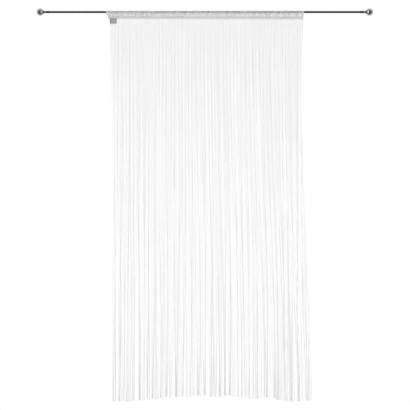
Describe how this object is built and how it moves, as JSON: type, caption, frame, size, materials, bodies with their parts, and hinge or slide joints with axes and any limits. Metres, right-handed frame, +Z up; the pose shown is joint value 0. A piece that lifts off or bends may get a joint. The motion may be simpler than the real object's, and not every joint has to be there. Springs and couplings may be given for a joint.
{
  "type": "string curtain on curtain rod",
  "caption": "String curtain hanging by its sheer rod pocket from a slim metal rod with a ball finial at each end; the strings gather into loose bunches towards an uneven hem.",
  "frame": {"origin": "on the rod's axis, midway between the two finials", "axes": "+Z up, +X to the right along the rod as seen from the front, front of the curtain faces -Y"},
  "size_m": [1.7208, 0.0368, 2.015],
  "materials": {
    "polished_metal": "polished dark nickel plating, bright highlights and dark reflections",
    "sheer_tape": "off-white plain-woven polyester, a quarter open, so that the rod shows through it",
    "white_string": "white polyester string, soft lustre",
    "label_satin": "grey woven satin label, bare"
  },
  "bodies": {
    "root": {"rod_tube": "polished_metal", "finial_left": "polished_metal", "finial_right": "polished_metal", "rod_pocket": "sheer_tape", "string_fringe": "white_string", "sewn_label": "label_satin"}
  },
  "joints": []
}
